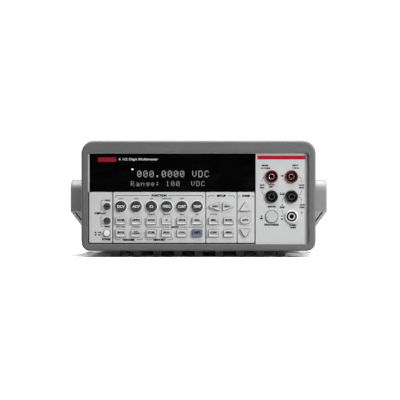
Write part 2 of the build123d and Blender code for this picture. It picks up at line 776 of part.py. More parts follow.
with BuildPart() as rear_panel:
    with BuildSketch(front_view(rear_face)):
        edge = sheet + 0.1
        box_outline(-case_width / 2 + edge, case_bottom + edge, case_width / 2 - edge, case_top - edge, 1.7)
        with Locations(*all_sockets):
            Circle(jack_body_radius + 0.1, mode=Mode.SUBTRACT)
        with Locations(*bnc_places):
            Circle(bnc_thread_radius + 0.1, mode=Mode.SUBTRACT)
        with Locations(fuse_place):
            Circle(fuse_radius + 0.1, mode=Mode.SUBTRACT)
        with Locations(usb_place):
            Rectangle(usb_body[0] + 0.4, usb_body[1] + 0.4, mode=Mode.SUBTRACT)
        with Locations(*rear_screws, ground_screw):
            Circle(screw_hole, mode=Mode.SUBTRACT)
        with Locations(((module_body[0] + module_body[2]) / 2, (module_body[1] + module_body[3]) / 2)):
            Rectangle(module_body[2] - module_body[0] + 0.2, module_body[3] - module_body[1] + 0.2,
                      mode=Mode.SUBTRACT)
    extrude(amount=panel_thickness)
rear_panel.part.label = "rear_panel"
export_step(rear_panel.part, "parts/rear_panel.step")

# ---- sockets: shrouded 4 mm jacks, front ones facing -Y and rear ones facing +Y --------------
flange_proud = 1.8
contact_back_off = 3.7      # a contact starts this far behind its shroud's rim


def shrouded_jack(places, face, facing):
    """Insulated jack bodies at (x, z) places; `facing` is -1 for the front and 1 for the rear."""
    mouth = face + facing * flange_proud
    bottom = face - facing * (jack_length - flange_proud)
    with BuildPart() as jacks:
        with BuildSketch(front_view(bottom)):
            with Locations(*places):
                Circle(jack_body_radius)
        extrude(amount=-facing * jack_length)
        with BuildSketch(front_view(face)):
            with Locations(*places):
                Circle(jack_flange_radius)
        extrude(amount=-facing * flange_proud)
        rims = jacks.faces().group_by(Axis.Y)[-1 if facing > 0 else 0]
        fillet(rims.edges(), radius=0.6)
        with BuildSketch(front_view(mouth)):
            with Locations(*places):
                Circle(jack_shroud_radius)
                Circle(jack_core_radius, mode=Mode.SUBTRACT)
        extrude(amount=facing * (socket_length - 1.0), mode=Mode.SUBTRACT)
        with BuildSketch(front_view(mouth)):
            with Locations(*places):
                Circle(contact_radius)
        extrude(amount=facing * jack_length, mode=Mode.SUBTRACT)
        # the core stands a little behind the shroud's rim
        with BuildSketch(front_view(mouth)):
            with Locations(*places):
                Circle(jack_core_radius + 0.2)
        extrude(amount=facing * 1.0, mode=Mode.SUBTRACT)
    return jacks.part


for colour in ("red", "black", "white"):
    with BuildPart() as jack_pair:
        add(shrouded_jack(sockets[colour], bezel_front, -1))
        add(shrouded_jack(sockets[colour], rear_face, 1))
    jack_pair.part.label = f"{colour}_jacks"
    export_step(jack_pair.part, f"parts/{colour}_jacks.step")

# ---- metal contacts: socket tubes and the mains inlet's blades -------------------------------
contact_tail = 3.0
blade_depth = 14.0
inlet_recess = 16.0
inlet_mouth = rear_face + 2.0
inlet_bottom = inlet_mouth - inlet_recess
inlet_opening = (24.2, 16.0)
inlet_corner = 4.0
inlet_back = 150.0
blade_size = (2.0, 4.0)
blade_root = 4.0
blades = [(inlet_x - 7.0, inlet_z - 2.0), (inlet_x + 7.0, inlet_z - 2.0), (inlet_x, inlet_z + 2.0)]
with BuildPart() as socket_contacts:
    for places, face, facing in ((all_sockets, bezel_front, -1), (all_sockets, rear_face, 1)):
        mouth = face + facing * (flange_proud - contact_back_off)
        tail = mouth - facing * (jack_length - contact_back_off + contact_tail)
        with BuildSketch(front_view(tail)):
            with Locations(*places):
                Circle(contact_radius)
        extrude(amount=-facing * abs(mouth - tail))
        with BuildSketch(front_view(mouth)):
            with Locations(*places):
                Circle(socket_radius)
        extrude(amount=facing * socket_length, mode=Mode.SUBTRACT)
    with BuildSketch(front_view(inlet_bottom - blade_root)):
        with Locations(*blades):
            Rectangle(*blade_size)
    extrude(amount=-(blade_depth + blade_root))
socket_contacts.part.label = "socket_contacts"
export_step(socket_contacts.part, "parts/socket_contacts.step")

# ---- mains inlet with its fuse drawer ----------------------------------------------------------
drawer_width = 20.0
drawer_height = 8.4
drawer_depth = 18.0
drawer_gap = 0.3
with BuildPart() as mains_inlet:
    with BuildSketch(front_view(rear_face)):
        box_outline(*module_box, 2.5)
    extrude(amount=-2.0)
    with BuildSketch(front_view(inlet_back)):
        box_outline(*module_body, 0.8)
    extrude(amount=-(rear_face - inlet_back))
    with BuildSketch(front_view(inlet_mouth)) as recess_sketch:
        with Locations((inlet_x, inlet_z)):
            Rectangle(*inlet_opening)
        chamfer(recess_sketch.vertices().sort_by(Axis.Y)[-2:], length=inlet_corner)
    extrude(amount=inlet_recess, mode=Mode.SUBTRACT)
    with BuildSketch(front_view(inlet_mouth)):
        with Locations((inlet_x, drawer_z)):
            Rectangle(drawer_width + 2 * drawer_gap, drawer_height + 2 * drawer_gap)
    extrude(amount=drawer_depth + 1.0, mode=Mode.SUBTRACT)
    with BuildSketch(front_view(inlet_bottom - blade_root)):
        with Locations(*blades):
            Rectangle(*blade_size)
    extrude(amount=-(blade_root + 1.0), mode=Mode.SUBTRACT)
mains_inlet.part.label = "mains_inlet"
export_step(mains_inlet.part, "parts/mains_inlet.step")

with BuildPart() as fuse_drawer:
    with BuildSketch(front_view(inlet_mouth - drawer_depth)):
        with Locations((inlet_x, drawer_z)):
            Rectangle(drawer_width, drawer_height)
    extrude(amount=-drawer_depth)
    with BuildSketch(front_view(inlet_mouth + 0.2)):
        with Locations((inlet_x, drawer_z)):
            RectangleRounded(drawer_width + 2.6, drawer_height + 1.6, 0.8)
    extrude(amount=-1.4)
    with BuildSketch(front_view(inlet_mouth)):
        with Locations((inlet_x, drawer_z)):
            Rectangle(drawer_width, drawer_height)
    extrude(amount=-0.3)
    with BuildSketch(Plane.XY.offset(drawer_z + drawer_height / 2)):
        with Locations((inlet_x, inlet_mouth - 10.5)):
            Rectangle(16.0, 13.0)
    extrude(amount=-6.6, mode=Mode.SUBTRACT)
fuse_drawer.part.label = "fuse_drawer"
export_step(fuse_drawer.part, "parts/fuse_drawer.step")

# ---- current fuse holder cap -------------------------------------------------------------------
with BuildPart() as current_fuse_cap:
    with BuildSketch(front_view(rear_face)):
        with Locations(fuse_place):
            Circle(7.5)
    extrude(amount=-6.0)
    fillet(current_fuse_cap.faces().sort_by(Axis.Y)[-1].edges(), radius=0.8)
    with BuildSketch(front_view(rear_face - 20.0)):
        with Locations(fuse_place):
            Circle(fuse_radius)
    extrude(amount=-20.0)
    with BuildSketch(front_view(rear_face + 6.0)):
        with Locations(fuse_place):
            Rectangle(9.0, 1.4)
    extrude(amount=1.2, mode=Mode.SUBTRACT)
current_fuse_cap.part.label = "current_fuse_cap"
export_step(current_fuse_cap.part, "parts/current_fuse_cap.step")

# ---- BNC connectors ------------------------------------------------------------------------------
bnc_length = 11.5
bnc_radius = 4.83
bnc_nut_radius = 7.2
bnc_bore_radius = 4.05
bnc_insulator_radius = 2.4
bnc_pin_radius = 0.7
bnc_stud_radius = 1.0
bnc_mouth = rear_face + bnc_length
with BuildPart() as bnc_connectors:
    with BuildSketch(front_view(rear_face)):
        with Locations(*bnc_places):
            Circle(bnc_nut_radius)
    extrude(amount=-1.6)
    with BuildSketch(front_view(rear_face - 10.0)):
        with Locations(*bnc_places):
            Circle(bnc_thread_radius)
    extrude(amount=-10.0)
    with BuildSketch(front_view(rear_face)):
        with Locations(*bnc_places):
            Circle(bnc_radius)
    extrude(amount=-bnc_length)
    # bayonet studs, above and below
    for x, z in bnc_places:
        with Locations((x, bnc_mouth - 5.0, z)):
            Cylinder(bnc_stud_radius, 2 * (bnc_radius + 0.9))
    # bore round the insulator, which stands behind the rim with the pin's hole in it
    with BuildSketch(front_view(bnc_mouth)):
        with Locations(*bnc_places):
            Circle(bnc_bore_radius)
    extrude(amount=8.0, mode=Mode.SUBTRACT)
    with BuildSketch(front_view(bnc_mouth - 8.0)):
        with Locations(*bnc_places):
            Circle(bnc_insulator_radius)
    extrude(amount=-6.0)
    with BuildSketch(front_view(bnc_mouth - 2.0)):
        with Locations(*bnc_places):
            Circle(bnc_pin_radius)
    extrude(amount=4.0, mode=Mode.SUBTRACT)
bnc_connectors.part.label = "bnc_connectors"
export_step(bnc_connectors.part, "parts/bnc_connectors.step")

# ---- USB port -------------------------------------------------------------------------------------
with BuildPart() as usb_port:
    with BuildSketch(front_view(rear_face - 16.0)):
        with Locations(usb_place):
            Rectangle(*usb_body)
    extrude(amount=-16.5)
    with BuildSketch(front_view(rear_face + 0.5)) as usb_mouth:
        with Locations(usb_place):
            Rectangle(*usb_opening)
        chamfer(usb_mouth.vertices().sort_by(Axis.Y)[-2:], length=1.6)
    extrude(amount=usb_depth, mode=Mode.SUBTRACT)
    with BuildSketch(front_view(rear_face - usb_depth)):
        with Locations(usb_place):
            Rectangle(*usb_tongue)
    extrude(amount=-(usb_depth - 0.5))
usb_port.part.label = "usb_port"
export_step(usb_port.part, "parts/usb_port.step")

# ---- machine screws: rear panel, bottom, board and earth ----------------------------------------------
with BuildPart() as machine_screws:
    with BuildSketch(front_view(rear_face)):
        with Locations(*rear_screws, ground_screw):
            Circle(head_radius)
    extrude(amount=-head_height)
    with BuildSketch(front_view(tray_back - sheet - 2.0)):
        with Locations(*rear_screws, ground_screw):
            Circle(screw_radius)
    extrude(amount=-(rear_face - tray_back + sheet + 2.0))
    with BuildSketch(Plane.XY.offset(case_bottom)):
        with Locations(*bottom_screws):
            Circle(head_radius)
    extrude(amount=-head_height)
    with BuildSketch(Plane.XY.offset(case_bottom)):
        with Locations(*bottom_screws):
            Circle(screw_radius)
    extrude(amount=2 * sheet + 2.0)
    with BuildSketch(Plane.XY.offset(board_top)):
        with Locations(*standoffs):
            Circle(head_radius)
    extrude(amount=head_height)
    with BuildSketch(Plane.XY.offset(board_top)):
        with Locations(*standoffs):
            Circle(screw_radius)
    extrude(amount=-(board_thickness + 5.0))
machine_screws.part.label = "machine_screws"
export_step(machine_screws.part, "parts/machine_screws.step")
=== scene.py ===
import json
import math

import bmesh
import bpy
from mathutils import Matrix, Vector


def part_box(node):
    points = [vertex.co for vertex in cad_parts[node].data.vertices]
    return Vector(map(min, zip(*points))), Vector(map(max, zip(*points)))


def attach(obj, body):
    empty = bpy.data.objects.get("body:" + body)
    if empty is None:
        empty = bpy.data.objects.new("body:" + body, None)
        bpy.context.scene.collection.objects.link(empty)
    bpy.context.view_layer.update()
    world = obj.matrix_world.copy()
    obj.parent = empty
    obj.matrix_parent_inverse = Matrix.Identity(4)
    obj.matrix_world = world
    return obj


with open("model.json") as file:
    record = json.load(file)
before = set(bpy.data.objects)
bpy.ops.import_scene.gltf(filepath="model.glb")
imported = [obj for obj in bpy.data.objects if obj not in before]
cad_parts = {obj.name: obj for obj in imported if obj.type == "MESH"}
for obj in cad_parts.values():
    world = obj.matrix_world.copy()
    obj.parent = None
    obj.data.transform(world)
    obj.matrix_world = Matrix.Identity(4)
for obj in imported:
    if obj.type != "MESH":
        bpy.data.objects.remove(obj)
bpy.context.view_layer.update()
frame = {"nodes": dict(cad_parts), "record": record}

MM = 0.001
chassis = "chassis"
nodes = frame["nodes"]
bezel_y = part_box("display_window")[0].y     # outer face of the panel, the window and the overlay
rear_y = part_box("rear_panel")[1].y
print_thickness = 0.03 * MM
cap_share = 0.73            # height of a capital as a share of the font's size
bold = 0.11                 # growth of a bold stroke, as a share of its capitals' height
title_weight = 0.02


# ---- camera, light and floor -------------------------------------------------------------
def make_camera():
    """Long lens, level and nearly square to the front panel."""
    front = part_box("front_bumper")[0].y
    distance = 2.6              # from the front bumper
    height = 0.0545
    sideways = 0.008
    aim = 0.00655               # how far left of itself the camera aims, on the front bumper's plane
    data = bpy.data.cameras.new("camera")
    data.sensor_width = 36.0
    data.lens = 245.7
    camera = bpy.data.objects.new("camera", data)
    camera.location = (sideways, front - distance, height)
    camera.rotation_euler = (math.radians(90), 0, math.atan(aim / distance))
    bpy.context.scene.collection.objects.link(camera)
    bpy.context.scene.camera = camera


def area_light(name, place, target, size, power):
    data = bpy.data.lights.new(name, "AREA")
    data.shape = "RECTANGLE"
    data.size, data.size_y = size
    data.energy = power
    light = bpy.data.objects.new(name, data)
    light.location = place
    light.rotation_euler = (Vector(target) - Vector(place)).to_track_quat("-Z", "Y").to_euler()
    bpy.context.scene.collection.objects.link(light)


def make_world():
    """White surroundings, with the room dark on the camera's side so that the window stays black."""
    world = bpy.data.worlds.new("studio")
    world.use_nodes = True
    bpy.context.scene.world = world
    nodes, links = world.node_tree.nodes, world.node_tree.links
    background = nodes["Background"]
    background.inputs["Color"].default_value = (1, 1, 1, 1)
    coordinate = nodes.new("ShaderNodeTexCoord")
    split = nodes.new("ShaderNodeSeparateXYZ")
    depth = nodes.new("ShaderNodeMapRange")
    depth.inputs["From Min"].default_value = 0.0
    depth.inputs["From Max"].default_value = 0.5
    depth.inputs["To Min"].default_value = 0.03
    depth.inputs["To Max"].default_value = 0.9
    path = nodes.new("ShaderNodeLightPath")
    choose = nodes.new("ShaderNodeMix")
    choose.inputs["B"].default_value = 1.1
    links.new(coordinate.outputs["Generated"], split.inputs[0])
    links.new(split.outputs["Y"], depth.inputs["Value"])
    links.new(path.outputs["Is Camera Ray"], choose.inputs["Factor"])
    links.new(depth.outputs["Result"], choose.inputs["A"])
    links.new(choose.outputs["Result"], background.inputs["Strength"])
    bpy.context.scene.view_settings.view_transform = "Standard"


def make_floor():
    mesh = bpy.data.meshes.new("floor")
    half = 0.8
    corners = [(-half, -half, 0), (half, -half, 0), (half, half, 0), (-half, half, 0)]
    mesh.from_pydata(corners, [], [(0, 1, 2, 3)])
    floor = bpy.data.objects.new("floor", mesh)
    bpy.context.scene.collection.objects.link(floor)
    paint = Finish("floor_paper", (0.93, 0.93, 0.93), 0.9, specular=0.1)
    paint.tint(paint.noise(0.3), (0.9, 0.9, 0.9))
    bounce = paint.nodes.new("ShaderNodeLightPath").outputs["Is Diffuse Ray"]
    paint.tint(bounce, (0.2, 0.2, 0.2))
    mesh.materials.append(paint.material)


# ---- materials ---------------------------------------------------------------------------
class Finish:
    """One material, built step by step on its Principled shader."""

    def __init__(self, name, colour, roughness, metallic=0.0, coat=0.0, specular=0.5):
        self.material = bpy.data.materials.new(name)
        self.material.use_nodes = True
        tree = self.material.node_tree
        self.nodes, self.links = tree.nodes, tree.links
        self.shader = self.nodes["Principled BSDF"]
        self.shader.inputs["Base Color"].default_value = (*colour, 1)
        self.shader.inputs["Roughness"].default_value = roughness
        self.shader.inputs["Metallic"].default_value = metallic
        self.shader.inputs["Coat Weight"].default_value = coat
        self.shader.inputs["Specular IOR Level"].default_value = specular
        self.place = self.nodes.new("ShaderNodeTexCoord").outputs["Object"]
        self.colour = colour
        self.colour_output = None
        self.round_normal = None
        self.normal = None

    def noise(self, size, detail=3.0, stretch=(1, 1, 1)):
        """Noise with features of about `size` metres, longer along an axis whose stretch is above 1."""
        mapping = self.nodes.new("ShaderNodeMapping")
        mapping.inputs["Scale"].default_value = [1 / s for s in stretch]
        texture = self.nodes.new("ShaderNodeTexNoise")
        texture.inputs["Scale"].default_value = 1 / size
        texture.inputs["Detail"].default_value = detail
        self.links.new(self.place, mapping.inputs["Vector"])
        self.links.new(mapping.outputs["Vector"], texture.inputs["Vector"])
        return texture.outputs["Fac"]

    def cells(self, size):
        """Small closed pits or flakes of about `size` metres."""
        texture = self.nodes.new("ShaderNodeTexVoronoi")
        texture.inputs["Scale"].default_value = 1 / size
        self.links.new(self.place, texture.inputs["Vector"])
        return texture.outputs["Distance"]

    def spread(self, value, low, high, start=0.35, end=0.65):
        """A pattern's start..end stretched over low..high."""
        scale = self.nodes.new("ShaderNodeMapRange")
        scale.inputs["From Min"].default_value = start
        scale.inputs["From Max"].default_value = end
        scale.inputs["To Min"].default_value = low
        scale.inputs["To Max"].default_value = high
        self.links.new(value, scale.inputs["Value"])
        return scale.outputs["Result"]

    def along(self, axis):
        """Place along X, Y or Z, in metres."""
        split = self.nodes.new("ShaderNodeSeparateXYZ")
        self.links.new(self.place, split.inputs[0])
        return split.outputs[axis]

    def times(self, first, second):
        product = self.nodes.new("ShaderNodeMath")
        product.operation = "MULTIPLY"
        self.links.new(first, product.inputs[0])
        self.links.new(second, product.inputs[1])
        return product.outputs["Value"]

    def tint(self, factor, colour):
        """Mixes `colour` over what is there so far, where factor is 1."""
        mix = self.nodes.new("ShaderNodeMix")
        mix.data_type = "RGBA"
        first = next(s for s in mix.inputs if s.name == "A" and s.type == "RGBA")
        second = next(s for s in mix.inputs if s.name == "B" and s.type == "RGBA")
        result = next(s for s in mix.outputs if s.type == "RGBA")
        first.default_value = (*self.colour, 1)
        second.default_value = (*colour, 1)
        if self.colour_output:
            self.links.new(self.colour_output, first)
        self.links.new(factor, mix.inputs["Factor"])
        self.links.new(result, self.shader.inputs["Base Color"])
        self.colour_output = result

    def gloss(self, pattern, low, high):
        """Roughness that follows a pattern."""
        self.links.new(self.spread(pattern, low, high), self.shader.inputs["Roughness"])

    def soften(self, radius):
        """Shades sharp edges as if they had this radius."""
        bevel = self.nodes.new("ShaderNodeBevel")
        bevel.samples = 4
        bevel.inputs["Radius"].default_value = radius
        self.round_normal = bevel.outputs["Normal"]
        self.normal = self.round_normal
        self.links.new(self.normal, self.shader.inputs["Normal"])

    def edges(self):
        """1 on edges that soften() rounds, 0 on flat faces."""
        geometry = self.nodes.new("ShaderNodeNewGeometry")
        compare = self.nodes.new("ShaderNodeVectorMath")
        compare.operation = "DOT_PRODUCT"
        self.links.new(self.round_normal, compare.inputs[0])
        self.links.new(geometry.outputs["Normal"], compare.inputs[1])
        return self.spread(compare.outputs["Value"], 1, 0, 0.75, 0.99)

    def bump(self, pattern, height, strength=1.0):
        """Relief of about `height` metres."""
        bump = self.nodes.new("ShaderNodeBump")
        bump.inputs["Distance"].default_value = height
        bump.inputs["Strength"].default_value = strength
        self.links.new(pattern, bump.inputs["Height"])
        if self.normal:
            self.links.new(self.normal, bump.inputs["Normal"])
        self.normal = bump.outputs["Normal"]
        self.links.new(self.normal, self.shader.inputs["Normal"])


def lighter(colour, amount):
    return tuple(min(1.0, c * amount) for c in colour)


def moulded(name, colour, roughness=0.42, grain=0.35 * MM, relief=0.02 * MM, wear=1.35, dirt=0.82,
            edge=0.35 * MM, coat=0.0, specular=0.5):
    """Moulded plastic or rubber: fine spark-eroded grain, slow mottling, paler worn edges."""
    paint = Finish(name, colour, roughness, coat=coat, specular=specular)
    paint.soften(edge)
    mottle = paint.noise(14 * MM, 4)
    paint.tint(paint.spread(mottle, 0, 1), lighter(colour, dirt))
    paint.tint(paint.spread(paint.noise(grain * 2, 2), 0, 0.35), lighter(colour, 0.9))
    rubbed = paint.times(paint.edges(), paint.spread(paint.noise(3 * MM, 5), 0.15, 0.9))
    paint.tint(rubbed, lighter(colour, wear))
    paint.gloss(paint.noise(2.5 * MM, 5), roughness - 0.07, roughness + 0.1)
    paint.bump(paint.noise(grain, 3), relief)
    return paint


def bumper_rubber(name):
    colour = (0.105, 0.105, 0.107)
    paint = moulded(name, colour, 0.5, 0.5 * MM, 0.035 * MM, wear=1.2, dirt=0.93, edge=0.5 * MM)
    dust = paint.times(paint.spread(paint.noise(30 * MM, 5), 0, 0.25),
                       paint.spread(paint.noise(1.2 * MM), 0, 1))
    paint.tint(dust, (0.2, 0.198, 0.19))
    # fixed shading that stands in for shadow: the ribs underneath
    shade = (0.012, 0.012, 0.013)
    paint.tint(paint.spread(paint.along("Z"), 1, 0, 5.4 * MM, 6.2 * MM), shade)
    # and the opening's left edge beside the keypad, with the left half of its lower edge
    beside = paint.times(paint.spread(paint.along("X"), 0, 1, -105.4 * MM, -105.1 * MM),
                         paint.spread(paint.along("X"), 1, 0, 0, 1 * MM))
    beside = paint.times(beside, paint.spread(paint.along("Z"), 1, 0, 61.8 * MM, 62.4 * MM))
    beside = paint.times(paint.spread(paint.along("Z"), 0, 1, 12.3 * MM, 12.6 * MM), beside)
    paint.tint(beside, shade)
    return paint


def handle_plastic(name):
    return moulded(name, (0.25, 0.25, 0.255), 0.36, 0.4 * MM, 0.02 * MM, wear=1.3, dirt=0.9, edge=0.6 * MM)


def pivot_plastic(name):
    return moulded(name, (0.11, 0.11, 0.115), 0.5, 0.4 * MM, 0.03 * MM, wear=1.3)


def lip_shade(paint):
    """Fixed shading that stands in for shadow: the right-hand end, towards the bumper's lip."""
    paint.tint(paint.spread(paint.along("X"), 0, 0.85, 100.3 * MM, 103.8 * MM), (0.07, 0.07, 0.072))


def silver_panel(name):
    """Silver-painted moulding: fine metal flake under a satin lacquer."""
    colour = (0.58, 0.585, 0.59)
    paint = Finish(name, colour, 0.4, metallic=0.15)
    paint.soften(0.3 * MM)
    paint.tint(paint.spread(paint.noise(18 * MM, 4), 0, 1), lighter(colour, 0.95))
    paint.tint(paint.spread(paint.cells(0.16 * MM), 0.3, 0, 0.1, 0.5), lighter(colour, 1.25))
    paint.tint(paint.times(paint.edges(), paint.spread(paint.noise(4 * MM, 5), 0.2, 1)), (0.72, 0.72, 0.72))
    # fixed shading that stands in for shadow: the gaps between the fields and round the keys
    sunken = paint.spread(paint.along("Y"), 0, 1, bezel_y + 0.9 * MM, bezel_y + 1.5 * MM)
    paint.tint(sunken, (0.012, 0.012, 0.012))
    lip_shade(paint)
    paint.gloss(paint.noise(3 * MM, 5), 0.34, 0.48)
    paint.bump(paint.noise(0.25 * MM, 2), 0.01 * MM)
    return paint


def input_panel(name):
    """Printed satin film."""
    colour = (0.55, 0.555, 0.56)
    paint = Finish(name, colour, 0.45)
    paint.soften(0.2 * MM)
    paint.tint(paint.spread(paint.noise(20 * MM, 4), 0, 1), lighter(colour, 0.95))
    paint.tint(paint.spread(paint.noise(0.3 * MM, 2), 0, 0.4), lighter(colour, 1.08))
    lip_shade(paint)
    paint.gloss(paint.noise(4 * MM, 5), 0.38, 0.52)
    paint.bump(paint.cells(0.3 * MM), 0.008 * MM)
    return paint


def smoked_window(name):
    """Polished smoked plate: near black, with faint wiping marks."""
    colour = (0.0008, 0.0008, 0.0009)
    paint = Finish(name, colour, 0.12, specular=0.15)
    paint.soften(0.2 * MM)
    wiping = paint.noise(5 * MM, 6, (4, 1, 1))
    paint.tint(paint.spread(wiping, 0, 0.4), lighter(colour, 1.8))
    paint.gloss(wiping, 0.08, 0.2)
    paint.bump(paint.noise(40 * MM, 1), 0.02 * MM)
    return paint


def painted_sheet(name, colour):
    """Powder-coated sheet metal with an orange-peel skin and chipped edges."""
    paint = Finish(name, colour, 0.5)
    paint.soften(0.35 * MM)
    paint.tint(paint.spread(paint.noise(25 * MM, 4), 0, 1), lighter(colour, 0.96))
    chips = paint.times(paint.edges(), paint.spread(paint.noise(1.5 * MM, 6), 0, 1, 0.5, 0.6))
    paint.tint(chips, (0.5, 0.5, 0.5))
    paint.gloss(paint.noise(3 * MM, 5), 0.42, 0.6)
    paint.bump(paint.noise(0.9 * MM, 2), 0.05 * MM)
    return paint


def case_paint(name):
    return painted_sheet(name, (0.17, 0.173, 0.178))


def rear_paint(name):
    return painted_sheet(name, (0.36, 0.365, 0.37))


def bare_metal(name, colour, roughness, brush=(1, 1, 12), size=0.3 * MM):
    """Plated or bare metal, brushed or turned, with scuffs."""
    paint = Finish(name, colour, roughness, metallic=1.0)
    paint.soften(0.2 * MM)
    lines = paint.noise(size, 4, brush)
    paint.tint(paint.spread(lines, 0, 0.6), lighter(colour, 0.8))
    paint.tint(paint.spread(paint.noise(4 * MM, 6), 0, 0.35, 0.5, 0.7), lighter(colour, 0.6))
    paint.gloss(lines, roughness - 0.08, roughness + 0.15)
    paint.bump(lines, 0.008 * MM)
    return paint


def zinc_steel(name):
    return bare_metal(name, (0.6, 0.61, 0.63), 0.32)


def nickel(name):
    return bare_metal(name, (0.68, 0.66, 0.62), 0.22, (1, 8, 1))


def contact_metal(name):
    """Plated metal, with fixed shading down in the sockets that stands in for shadow."""
    paint = bare_metal(name, (0.62, 0.58, 0.5), 0.28, (1, 8, 1))
    paint.tint(sunk(paint), (0.004, 0.004, 0.004))
    return paint


def core_steel(name):
    return bare_metal(name, (0.18, 0.17, 0.16), 0.45, (1, 20, 1))


def circuit_board(name):
    """Green solder mask over copper tracks."""
    colour = (0.015, 0.11, 0.045)
    paint = Finish(name, colour, 0.35)
    tracks = paint.spread(paint.cells(4 * MM), 1, 0, 0.05, 0.12)
    paint.tint(tracks, (0.03, 0.2, 0.08))
    paint.tint(paint.spread(paint.noise(10 * MM, 4), 0, 0.5), lighter(colour, 0.7))
    paint.gloss(paint.noise(2 * MM, 4), 0.28, 0.45)
    paint.bump(tracks, 0.03 * MM)
    return paint


def component_plastic(name):
    return moulded(name, (0.03, 0.03, 0.033), 0.5)


def display_glass(name):
    return moulded(name, (0.012, 0.014, 0.014), 0.15, relief=0.002 * MM)


def mat_rubber(name):
    return moulded(name, (0.22, 0.23, 0.24), 0.7)


def sunk(paint):
    """1 behind the front and the rear panel's faces, 0 in front of them."""
    return paint.times(paint.spread(paint.along("Y"), 0, 1, bezel_y - 0.1 * MM, bezel_y + 0.7 * MM),
                       paint.spread(paint.along("Y"), 1, 0, rear_y - 0.7 * MM, rear_y + 0.1 * MM))


def jack_plastic(name, colour, wear, roughness=0.3):
    """Glossy insulator, scuffed by plugs."""
    paint = Finish(name, colour, roughness, coat=0.15)
    paint.soften(0.3 * MM)
    paint.tint(paint.spread(paint.noise(3 * MM, 5), 0, 0.6), lighter(colour, 0.75))
    scuffs = paint.spread(paint.noise(0.6 * MM, 6, (1, 6, 1)), 0, 0.4, 0.55, 0.7)
    paint.tint(scuffs, wear)
    paint.tint(paint.times(paint.edges(), paint.spread(paint.noise(1.5 * MM, 5), 0.3, 1)), wear)
    # fixed shading that stands in for shadow: down in the shroud, front and rear
    paint.tint(sunk(paint), (0.006, 0.006, 0.006))
    paint.gloss(paint.noise(1.2 * MM, 5), roughness - 0.1, roughness + 0.12)
    paint.bump(paint.noise(0.4 * MM, 3), 0.012 * MM)
    return paint


def red_plastic(name):
    return jack_plastic(name, (0.11, 0.003, 0.006), (0.32, 0.04, 0.05))


def black_plastic(name):
    return jack_plastic(name, (0.003, 0.003, 0.0035), (0.02, 0.02, 0.02))


def white_plastic(name):
    return jack_plastic(name, (0.78, 0.78, 0.76), (0.9, 0.9, 0.88))


def dark_key(name):
    return moulded(name, (0.016, 0.016, 0.017), 0.3, 0.2 * MM, 0.012 * MM, wear=1.6, edge=1.8 * MM, coat=0.3)


def light_key(name):
    return moulded(name, (0.62, 0.62, 0.61), 0.42, 0.2 * MM, 0.012 * MM, wear=1.25, dirt=0.94)


def shift_key(name):
    return moulded(name, (0.155, 0.16, 0.225), 0.42, 0.2 * MM, 0.012 * MM, wear=1.4, dirt=0.92)


# Painted highlight: the collars are near-white, paler than the silver bezel ring they stand for, so that they
# show as a bright rim of light round the keys.
def collar_finish(name):
    return moulded(name, (0.9, 0.9, 0.89), 0.3, 0.2 * MM, 0.01 * MM, wear=1.1, dirt=0.95, edge=0.15 * MM)


def power_key(name):
    return moulded(name, (0.85, 0.85, 0.84), 0.35, 0.2 * MM, 0.01 * MM, wear=1.1, dirt=0.95)


def selector_key(name):
    return moulded(name, (0.52, 0.525, 0.53), 0.42, 0.2 * MM, 0.012 * MM, wear=1.25, dirt=0.93)


def ink(name, colour, roughness=0.5):
    """Screen print: slightly uneven cover with a faint relief."""
    paint = Finish(name, colour, roughness, specular=0.15)
    paint.tint(paint.spread(paint.noise(0.5 * MM, 5), 0, 0.5), lighter(colour, 0.8))
    paint.gloss(paint.noise(0.8 * MM, 4), roughness - 0.08, roughness + 0.1)
    paint.bump(paint.noise(0.15 * MM, 2), 0.005 * MM)
    return paint.material


def lit_dots(name, colour, power):
    """Phosphor dots, a little uneven in brightness."""
    paint = Finish(name, (0.3, 0.32, 0.32), 0.6)
    paint.shader.inputs["Emission Color"].default_value = (*colour, 1)
    strength = paint.spread(paint.noise(1.5 * MM, 2), power * 0.8, power * 1.15)
    paint.links.new(strength, paint.shader.inputs["Emission Strength"])
    return paint.material


finishes = (silver_panel, smoked_window, input_panel, bumper_rubber, case_paint, rear_paint,
            handle_plastic, pivot_plastic, zinc_steel, circuit_board, component_plastic, core_steel,
            display_glass, mat_rubber, red_plastic, black_plastic, white_plastic, contact_metal,
            nickel, power_key, selector_key, dark_key, light_key, shift_key)


def paint_nodes():
    """Gives every CAD node the finish of its record slot."""
    made = {finish.__name__: finish(finish.__name__ + "_finish").material for finish in finishes}
    for node in nodes.values():
        for material_slot in node.material_slots:
            material_slot.material = made[material_slot.material.name.split(".")[0]]


# ---- printing and other thin pieces --------------------------------------------------------
def make_piece(name, mesh, material, body):
    piece = bpy.data.objects.new(name, mesh)
    bpy.context.scene.collection.objects.link(piece)
    mesh.materials.append(material)
    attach(piece, body)
    return piece


def letters(text, x, z, cap, width=None, weight=0.05):
    """Letters as a mesh centred on (x, z), facing -Y, `width` wide, strokes grown by `weight` caps."""
    curve = bpy.data.curves.new("letters", "FONT")
    curve.body = text
    curve.align_x = "CENTER"
    curve.align_y = "CENTER"
    curve.size = cap / cap_share
    curve.extrude = print_thickness / 2
    curve.resolution_u = 3
    curve.offset = cap * weight
    holder = bpy.data.objects.new("letters", curve)
    bpy.context.scene.collection.objects.link(holder)
    bpy.context.view_layer.update()
    mesh = bpy.data.meshes.new_from_object(holder.evaluated_get(bpy.context.evaluated_depsgraph_get()))
    bpy.data.objects.remove(holder)
    bpy.data.curves.remove(curve)
    shape = bmesh.new()
    shape.from_mesh(mesh)
    bpy.data.meshes.remove(mesh)
    bmesh.ops.remove_doubles(shape, verts=shape.verts, dist=0.002 * MM)
    wide = max(v.co.x for v in shape.verts) - min(v.co.x for v in shape.verts)
    squeeze = width / wide if width else 1.0
    middle = (max(v.co.y for v in shape.verts) + min(v.co.y for v in shape.verts)) / 2
    for v in shape.verts:
        v.co = Vector((x + v.co.x * squeeze, -v.co.z, z + v.co.y - middle))
    return shape


